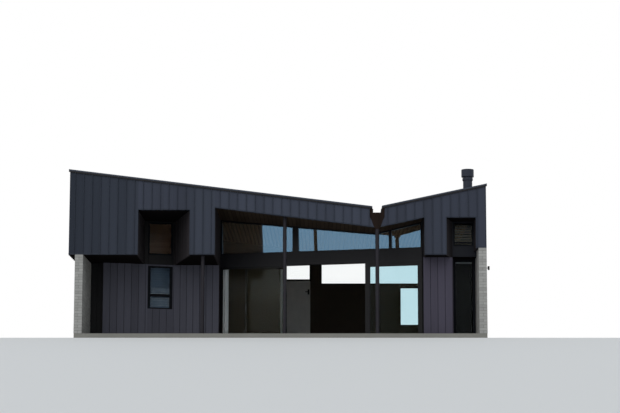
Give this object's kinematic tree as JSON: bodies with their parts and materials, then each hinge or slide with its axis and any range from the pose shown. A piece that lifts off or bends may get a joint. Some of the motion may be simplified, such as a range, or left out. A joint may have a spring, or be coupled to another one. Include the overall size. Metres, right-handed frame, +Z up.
{
  "type": "beach house",
  "caption": "Single-storey beach house with a butterfly roof, dark metal hood, skewed glass wall and stacking sliding doors.",
  "frame": {"origin": "on the ground under the middle of the house's bounding box", "axes": "+X along the front from left to right as seen from outside, +Y from front to back, +Z up"},
  "size_m": [12.775, 7.37, 5.6417],
  "materials": {
    "concrete": "bare concrete",
    "brick": "pale grey brick, raked joints",
    "metal_cladding": "dark standing-seam cladding, low sheen",
    "dark_timber": "dark stained vertical boards",
    "timber_lining": "dark brown stained boards",
    "roof_sheet": "dark roof sheet",
    "flashing": "dark folded sheet",
    "painted_steel": "dark painted steel",
    "window_frame": "black powder-coated frame",
    "tinted_glass": "tinted reflective glass",
    "clear_glass": "clear glass",
    "track": "anodised track",
    "flue": "matt black flue",
    "lamp": "black lamp body",
    "curtain": "pale blue-grey sheer cloth"
  },
  "bodies": {
    "house": {"floor_slab": "concrete", "brick_walls": "brick", "upper_side_walls": "metal_cladding", "back_wall": "metal_cladding", "louvre_wall": "metal_cladding", "screen_panels_left": "metal_cladding", "screen_panels_right": "metal_cladding", "recess_head_screens": "metal_cladding", "fascia_left": "metal_cladding", "fascia_right": "metal_cladding", "front_wall_left": "dark_timber", "front_wall_mid": "dark_timber", "niche_wall": "dark_timber", "front_wall_right": "dark_timber", "return_walls": "dark_timber", "recess_reveals_left": "timber_lining", "recess_reveals_right": "timber_lining", "recess_ceilings": "timber_lining", "opening_reveals": "timber_lining", "hood_soffits": "timber_lining", "ceiling_left": "timber_lining", "ceiling_right": "timber_lining", "roof_left": "roof_sheet", "roof_right": "roof_sheet", "box_gutter": "flashing", "rain_head": "flashing", "verandah_posts": "painted_steel", "valley_post": "painted_steel", "transom_beam": "painted_steel", "clerestory_frame": "window_frame", "fixed_door_frames": "window_frame", "left_window_frames": "window_frame", "right_window_frames": "window_frame", "back_window_frames": "window_frame", "curtain_rail": "window_frame", "clerestory_glass": "tinted_glass", "left_window_glass": "tinted_glass", "right_window_glass": "tinted_glass", "back_window_glass": "tinted_glass", "fixed_door_glass": "clear_glass", "door_track": "track", "flue_pipe": "flue", "flue_cap": "flue", "wall_light": "lamp", "curtains": "curtain"},
    "first_leaf": {"first_leaf_frame": "window_frame", "first_leaf_glass": "clear_glass"},
    "second_leaf": {"second_leaf_frame": "window_frame", "second_leaf_glass": "clear_glass"}
  },
  "joints": [
    {"name": "first_leaf_slide", "type": "slide", "parent": "house", "child": "first_leaf", "axis": [0.9744, -0.2249, 0], "range_m": [0, 1.309]},
    {"name": "second_leaf_slide", "type": "slide", "parent": "house", "child": "second_leaf", "axis": [0.9744, -0.2249, 0], "range_m": [0, 2.608]}
  ]
}
